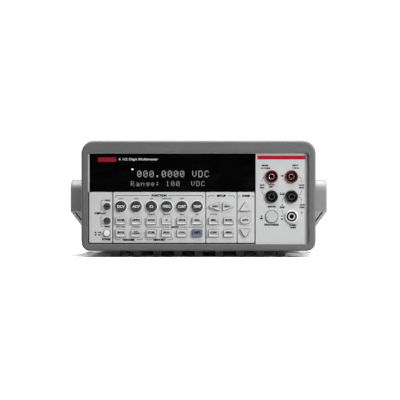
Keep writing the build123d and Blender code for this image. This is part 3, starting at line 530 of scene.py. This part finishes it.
def ribbon(points, width):
    """Flat strip of even width through (x, z) points, as a closed mesh facing -Y."""
    shape = bmesh.new()
    path = [Vector(p) for p in points]
    sections = []
    for i, p in enumerate(path):
        ahead = (path[min(i + 1, len(path) - 1)] - path[max(i - 1, 0)]).normalized()
        side = Vector((-ahead.y, ahead.x)) * width / 2
        corners = [(p + side, -1), (p - side, -1), (p - side, 1), (p + side, 1)]
        sections.append([shape.verts.new((c.x, y * print_thickness / 2, c.y)) for c, y in corners])
    for a, b in zip(sections, sections[1:]):
        for k in range(4):
            shape.faces.new((a[k], a[(k + 1) % 4], b[(k + 1) % 4], b[k]))
    shape.faces.new(sections[0][::-1])
    shape.faces.new(sections[-1])
    bmesh.ops.recalc_face_normals(shape, faces=shape.faces)
    return shape


def patch(x, z, width, height, corner=0.0):
    """Flat rectangle with rounded corners, as a closed mesh facing -Y."""
    outline = []
    for turn, (sx, sz) in enumerate(((1, 1), (-1, 1), (-1, -1), (1, -1))):
        centre = Vector((x + sx * (width / 2 - corner), z + sz * (height / 2 - corner)))
        for step in range(5 if corner else 1):
            angle = math.radians(90 * turn + 22.5 * step)
            outline.append(centre + corner * Vector((math.cos(angle), math.sin(angle))))
    return plate(outline)


def disc(x, z, radius, steps=24):
    return plate([Vector((x + radius * math.cos(a), z + radius * math.sin(a)))
                  for a in (2 * math.pi * i / steps for i in range(steps))])


def plate(outline):
    """Closed flat plate with this (x, z) outline, facing -Y."""
    shape = bmesh.new()
    front, back = [[shape.verts.new((p.x, y * print_thickness / 2, p.y)) for p in outline] for y in (-1, 1)]
    shape.faces.new(front)
    shape.faces.new(back[::-1])
    for i in range(len(outline)):
        j = (i + 1) % len(outline)
        shape.faces.new((front[i], back[i], back[j], front[j]))
    bmesh.ops.recalc_face_normals(shape, faces=shape.faces)
    return shape


def printed(name, shapes, y, material, body):
    """Joins flat shapes into one piece that lies on the surface at depth y."""
    whole = bmesh.new()
    for shape in shapes:
        part = bpy.data.meshes.new("part")
        shape.to_mesh(part)
        shape.free()
        whole.from_mesh(part)
        bpy.data.meshes.remove(part)
    for v in whole.verts:
        v.co.y += y - print_thickness / 2
    mesh = bpy.data.meshes.new(name)
    whole.to_mesh(mesh)
    whole.free()
    return make_piece(name, mesh, material, body)


# ---- labels on the keys ----------------------------------------------------------------------
def key_middle(name):
    low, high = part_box(name)
    return (low.x + high.x) / 2, (low.z + high.z) / 2, low.y


# text and its width in millimetres
round_labels = {"key_dc_volts": ("DCV", 7.0), "key_ac_volts": ("ACV", 7.0), "key_ohms": ("Ω", 3.4),
                "key_frequency": ("FREQ", 7.4), "key_continuity": ("CONT", 7.4),
                "key_temperature": ("TEMP", 7.4)}
rect_labels = {"key_filter": ("FILTER", 7.2), "key_digits": ("DIGITS", 7.0), "key_ratio": ("RATIO", 6.6),
               "key_percent": ("%", 2.0), "key_scale": ("MX+B", 6.2), "key_null": ("NULL", 5.4),
               "key_single": ("SINGLE", 6.6), "key_store": ("STORE", 6.4), "key_recall": ("RECALL", 6.4),
               "key_local": ("LOCAL", 6.0), "key_shift": ("SHIFT", 6.2), "key_escape": ("ESC", 4.8),
               "key_enter": ("ENTER", 6.8), "key_config": ("CONFIG", 6.4), "key_menu": ("MENU", 6.2)}
arrow_labels = {"key_previous": ("PREV", 0.6 * MM), "key_next": ("NEXT", -0.9 * MM)}


def label_keys(white, black):
    for name, (text, width) in round_labels.items():
        x, z, y = key_middle(name)
        printed(name + "_label", [letters(text, x, z, 2.4 * MM, width * MM)], y, white, name)
    for name, (text, width) in rect_labels.items():
        x, z, y = key_middle(name)
        shapes = [letters(text, x, z + 0.9 * MM, 1.7 * MM, width * MM, bold)]
        printed(name + "_label", shapes, y, black, name)
    for name, (text, shift) in arrow_labels.items():
        x, z, y = key_middle(name)
        shapes = [letters(text, x + shift, z, 1.6 * MM, 6.0 * MM, 0.1)]
        printed(name + "_label", shapes, y + 0.35 * MM, black, name)
    x, z, y = key_middle("key_auto_trigger")
    shapes = [letters("AUTO", x, z + 1.7 * MM, 1.2 * MM, 4.4 * MM, 0.1),
              letters("HOLD", x, z + 0.1 * MM, 1.2 * MM, 6.4 * MM, 0.1)]
    printed("key_auto_trigger_label", shapes, y, black, "key_auto_trigger")
    x, z, y = key_middle("key_range_auto")
    printed("key_range_auto_label", [letters("AUTO", x, z, 1.9 * MM, 6.0 * MM, bold)], y, black,
            "key_range_auto")


# ---- collars round the round keys ------------------------------------------------------------
def collar(name, x, z, inner, outer, height, material, base=bezel_y, facing=-1):
    """Low ring turned from a rounded section, standing on depth `base`."""
    section = []
    steps = 6
    for i in range(steps + 1):
        angle = math.pi * i / steps
        radius = (inner + outer) / 2 + (outer - inner) / 2 * math.cos(angle)
        section.append((radius, height * math.sin(angle)))
    section += [(inner, -0.05 * MM), (outer, -0.05 * MM)]
    shape = bmesh.new()
    turns = 64
    rings = []
    for t in range(turns):
        a = 2 * math.pi * t / turns
        rings.append([shape.verts.new((x + r * math.cos(a), base + h * facing, z + r * math.sin(a)))
                      for r, h in section])
    for t in range(turns):
        first, second = rings[t], rings[(t + 1) % turns]
        for k in range(len(section)):
            m = (k + 1) % len(section)
            shape.faces.new((first[k], first[m], second[m], second[k]))
    bmesh.ops.recalc_face_normals(shape, faces=shape.faces)
    for face in shape.faces:
        face.smooth = True
    mesh = bpy.data.meshes.new(name)
    shape.to_mesh(mesh)
    shape.free()
    make_piece(name, mesh, material, chassis)


def make_collars(material):
    for name in round_labels:
        x, z, _ = key_middle(name)
        collar(name + "_collar", x, z, 5.35 * MM, 6.15 * MM, 0.35 * MM, material)
    for name in ("key_display_previous", "key_display_next"):
        x, z, _ = key_middle(name)
        collar(name + "_collar", x, z, 3.45 * MM, 4.1 * MM, 0.3 * MM, material)


# ---- rings in the mouths of the sockets --------------------------------------------------------
def make_socket_rims():
    """Visual rings in the sockets' bores. The CAD has none: its contacts start about 2 mm behind them."""
    plated = nickel("rim_plating").material
    dull = core_steel("rim_dull").material
    white = white_plastic("rim_white").material
    for mount in frame["record"]["mounts"]:
        if not mount["name"].endswith("_socket") or mount["kind"] != "bore":
            continue
        material = plated if "_hi_" in mount["name"] else dull if "_lo_" in mount["name"] else white
        x, _, z = mount["pos_m"]
        facing = mount["axis"][1]
        base = (bezel_y if facing < 0 else rear_y) + 0.3 * MM * facing
        collar(mount["name"] + "_rim", x, z, 2.15 * MM, 2.58 * MM, 0.25 * MM, material, base, facing)


# ---- display ---------------------------------------------------------------------------------
glyphs = {
    "0": "01110 10001 10011 10101 11001 10001 01110",
    "1": "00100 01100 00100 00100 00100 00100 01110",
    ".": "00000 00000 00000 00000 00000 01100 01100",
    ":": "00000 01100 01100 00000 01100 01100 00000",
    "V": "10001 10001 10001 10001 10001 01010 00100",
    "D": "11110 10001 10001 10001 10001 10001 11110",
    "C": "01110 10001 10000 10000 10000 10001 01110",
    "R": "11110 10001 10001 11110 10100 10010 10001",
    "a": "00000 00000 01110 00001 01111 10001 01111",
    "n": "00000 00000 10110 11001 10001 10001 10001",
    "g": "00000 00000 01111 10001 01111 00001 01110",
    "e": "00000 00000 01110 10001 11111 10000 01110",
}


def dot_row(text, left, low, cell, dot_x, dot_z):
    """Character cells of five by seven dots; left and low are the first cell's corner."""
    shapes = []
    for place, character in enumerate(text):
        rows = glyphs.get(character, "").split()
        for line, row in enumerate(rows):
            for column, lit in enumerate(row):
                if lit == "1":
                    x = left + place * cell + (column + 0.5) * dot_x
                    z = low + (6.5 - line) * dot_z
                    shapes.append(patch(x, z, dot_x * 0.62, dot_z * 0.62))
    return shapes


def make_display(white):
    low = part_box("display_window")[0]
    reading_dots = lit_dots("reading_phosphor", (0.82, 0.9, 0.95), 0.42)
    range_dots = lit_dots("range_phosphor", (0.82, 0.9, 0.95), 0.2)
    x = low.x + 45.5 * MM
    z = low.z + 13.9 * MM
    printed("reading_dots", dot_row("000.0000 VDC", x, z, 5.83 * MM, 0.82 * MM, 0.9 * MM), low.y,
            reading_dots, chassis)
    printed("range_dots", dot_row("Range: 100  VDC", low.x + 39.3 * MM, low.z + 5.4 * MM, 4.8 * MM, 0.68 * MM,
                                  0.69 * MM), low.y, range_dots, chassis)
    printed("display_marker", [patch(low.x + 40.9 * MM, low.z + 21.5 * MM, 1.9 * MM, 1.2 * MM, 0.3 * MM)],
            low.y, lit_dots("marker_phosphor", (0.9, 0.95, 1.0), 1.0), chassis)
    title = letters("6 1/2 Digit Multimeter", -57.4 * MM, 93.1 * MM, 2.2 * MM, 37.5 * MM, title_weight)
    printed("window_title", [title], low.y, white, chassis)
    printed("window_badge", [patch(-87.2 * MM, 93.0 * MM, 17.4 * MM, 4.2 * MM, 0.5 * MM)], low.y,
            ink("badge_red", (0.3, 0.01, 0.018)), chassis)


# ---- printing on the keypad fields -----------------------------------------------------------
def hook(far, near, z, drop, radius=1.1 * MM):
    """Group line from `near` out to `far`, where it turns through a quarter circle by `drop`."""
    way = 1 if near > far else -1
    turn = 1 if drop > 0 else -1
    points = [(far, z + drop)]
    for step in range(5):
        a = math.radians(22.5 * step)
        points.append((far + way * radius * (1 - math.cos(a)), z + turn * radius * (1 - math.sin(a))))
    return ribbon(points + [(near, z)], 0.45 * MM)


def group(text, x, z, width, left, right, drop):
    """A group's name with a line each side of it, in millimetres."""
    gap = width / 2 + 1.6
    return [letters(text, x * MM, z * MM, 1.9 * MM, width * MM, 0.12),
            hook(left * MM, (x - gap) * MM, z * MM, drop * MM),
            hook(right * MM, (x + gap) * MM, z * MM, drop * MM)]


def panel_labels():
    """Everything printed dark on the keypad fields, in millimetres from the base's centre."""
    labels = []
    labels += group("FUNCTION", -37.6, 58.8, 14.4, -79.0, 3.9, -2.2)
    labels += group("MATH", -22.6, 28.6, 7.2, -50.1, 4.9, 1.8)
    labels += group("TRIGGER", -66.9, 16.6, 12.4, -79.2, -53.6, 1.8)
    labels += group("MEMORY", -37.4, 16.6, 11.9, -50.4, -24.5, 1.8)
    labels += group("SETUP", 21.8, 58.5, 8.8, 9.3, 34.4, -1.8)
    labels += group("RANGE", 45.3, 58.5, 7.2, 38.2, 52.4, -1.6)
    for text, x, z, cap, width in (("PREV", -86.8, 54.1, 1.4, 5.6), ("NEXT", -86.8, 29.2, 1.4, 5.6),
                                   ("DISPLAY", -93.6, 41.8, 1.7, 11.4), ("POWER", -87.8, 17.0, 1.8, 8.6),
                                   ("OFF", -94.4, 23.5, 1.2, 3.4), ("ON", -94.7, 21.2, 1.2, 2.4)):
        labels.append(letters(text, x * MM, z * MM, cap * MM, width * MM, bold))
    for z in (23.5, 21.2):
        labels.append(patch(-98.2 * MM, z * MM, 1.7 * MM, 1.3 * MM))
    labels.append(bracket(-92.9 * MM, -90.9 * MM, 54.2 * MM, 44.3 * MM))
    labels.append(bracket(-92.9 * MM, -90.9 * MM, 29.2 * MM, 39.1 * MM))
    return labels


def bracket(x, turn_x, end, start):
    """Upright line from `start` to `end` that turns off towards turn_x."""
    way = 1 if end > start else -1
    radius = 1.0 * MM
    points = [(x, start)]
    for step in range(5):
        a = math.radians(22.5 * step)
        points.append((x + radius * (1 - math.cos(a)), end - way * radius * (1 - math.sin(a))))
    return ribbon(points + [(turn_x, end)], 0.5 * MM)


def second_labels():
    """The paler second functions above the keys."""
    labels = []
    rows = ((55.8, ("key_dc_volts", "DCI", 4.4), ("key_ac_volts", "ACI", 4.4), ("key_ohms", "Ω4", 3.4),
             ("key_frequency", "PERIOD", 9.2)),
            (40.8, ("key_ratio", "LIMITS", 7.1), ("key_percent", "RATE", 6.4), ("key_scale", "dBm", 4.4),
             ("key_null", "dB", 3.0), ("key_escape", "LOCK", 7.1)),
            (28.8, ("key_single", "EXT TRIG", 8.8), ("key_auto_trigger", "HOLD", 6.6)))
    for z, *row in rows:
        for key, text, width in row:
            labels.append(letters(text, key_middle(key)[0], z * MM, 1.35 * MM, width * MM))
    # diode mark over the continuity key
    x = key_middle("key_continuity")[0]
    z = 55.8 * MM
    labels.append(plate([Vector((x - 0.9 * MM, z - 0.9 * MM)), Vector((x + 0.9 * MM, z)),
                         Vector((x - 0.9 * MM, z + 0.9 * MM))]))
    labels.append(patch(x + 1.1 * MM, z, 0.4 * MM, 1.9 * MM))
    labels.append(patch(x, z, 4.6 * MM, 0.35 * MM))
    return labels


# ---- printing on the input field --------------------------------------------------------------
def lead_line(x, z, end_x, end_z):
    """Quarter-round line from a socket towards its rating."""
    corner = Vector((end_x, z))
    start, end = Vector((x, z)), Vector((end_x, end_z))
    points = []
    for step in range(9):
        t = step / 8
        points.append(start * (1 - t) ** 2 + corner * 2 * t * (1 - t) + end * t * t)
    return ribbon(points, 0.35 * MM)


def input_labels():
    labels = []
    rows = (("SENSE", 63.4, 87.4, 1.4, 6.2), ("Ω 4 WIRE", 63.8, 84.8, 1.3, 8.8),
            ("INPUT", 92.4, 87.5, 1.4, 5.8), ("V Ω Hz", 92.6, 85.0, 1.3, 7.0),
            ("HI", 79.6, 77.6, 1.5, 2.2), ("LO", 79.7, 60.3, 2.0, 4.2),
            ("RATIO", 69.8, 69.0, 1.3, 5.6), ("REF", 69.0, 67.0, 1.3, 3.6),
            ("VOLTS", 60.6, 68.6, 1.4, 4.8), ("PEAK", 60.6, 66.2, 1.4, 4.8),
            ("VOLTS", 98.2, 68.6, 1.4, 5.2), ("PEAK", 98.2, 66.2, 1.4, 5.2),
            ("A", 79.8, 49.8, 1.4, 1.6), ("RMS", 79.8, 47.5, 1.5, 4.6),
            ("VOLTS", 98.8, 49.8, 1.4, 4.8), ("PEAK", 98.8, 47.5, 1.4, 5.2),
            ("INPUTS", 69.7, 48.1, 1.5, 7.4), ("FRONT/REAR", 69.6, 30.9, 1.6, 14.0),
            ("FUSED", 90.0, 30.5, 1.4, 6.8), ("AMPS", 90.0, 28.2, 1.5, 6.0))
    for text, x, z, cap, width in rows:
        labels.append(letters(text, x * MM, z * MM, cap * MM, width * MM, bold))
    # selector position marks: button out, button in
    for x in (60.1, 79.5):
        labels.append(disc(x * MM, 39.1 * MM, 0.65 * MM))
    raised_button = ((58.6, 36.1), (61.6, 36.1), (60.9, 37.9), (59.3, 37.9))
    labels.append(plate([Vector((x * MM, z * MM)) for x, z in raised_button]))
    labels.append(patch(79.5 * MM, 36.3 * MM, 2.1 * MM, 1.1 * MM, 0.3 * MM))
    # earth symbol
    labels.append(patch(98.3 * MM, 43.6 * MM, 0.35 * MM, 1.6 * MM))
    for row, half in enumerate((1.3, 0.85, 0.4)):
        labels.append(patch(98.3 * MM, (42.6 - 0.7 * row) * MM, 2 * half * MM, 0.3 * MM))
    return labels


def lead_lines():
    return [lead_line(x * MM, z * MM, end_x * MM, end_z * MM) for x, z, end_x, end_z in (
        (63.2, 76.4, 60.6, 71.4), (63.2, 59.6, 60.6, 64.4),
        (95.2, 76.4, 98.2, 71.4), (95.6, 59.4, 98.2, 64.4),
        (82.6, 56.8, 79.7, 52.4), (95.3, 57.2, 98.2, 53.0), (82.6, 39.9, 79.7, 44.8))]


def make_stripe():
    low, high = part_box("input_overlay")
    width = high.x - low.x - 0.2 * MM
    stripe = patch((low.x + high.x) / 2, high.z - 2.7 * MM, width, 3.7 * MM)
    printed("input_stripe", [stripe], low.y, ink("stripe_red", (0.4, 0.012, 0.021)), chassis)


make_camera()
make_world()
make_floor()
area_light("key_light", (0.8, -0.82, 0.52), (0, -0.19, 0.05), (0.3, 0.3), 11.5)
area_light("top_light", (0.1, -0.15, 1.9), (0, -0.1, 0), (2.0, 1.5), 85)
area_light("fill_light", (-1.2, -1.8, 0.5), (0, -0.1, 0.05), (0.8, 0.8), 0.8)
paint_nodes()
white_ink = ink("white_ink", (0.8, 0.8, 0.8))
black_ink = ink("black_ink", (0.003, 0.003, 0.0035))
grey_ink = ink("grey_ink", (0.02, 0.02, 0.021))
label_keys(white_ink, black_ink)
# the collars' near-white colour is a painted highlight round the round and display keys
make_collars(collar_finish("collar_finish").material)
make_socket_rims()
make_display(white_ink)
printed("panel_print", panel_labels(), bezel_y, black_ink, chassis)
printed("second_print", second_labels(), bezel_y, grey_ink, chassis)
printed("input_print", input_labels(), bezel_y, black_ink, chassis)
printed("lead_lines", lead_lines(), bezel_y, grey_ink, chassis)
make_stripe()
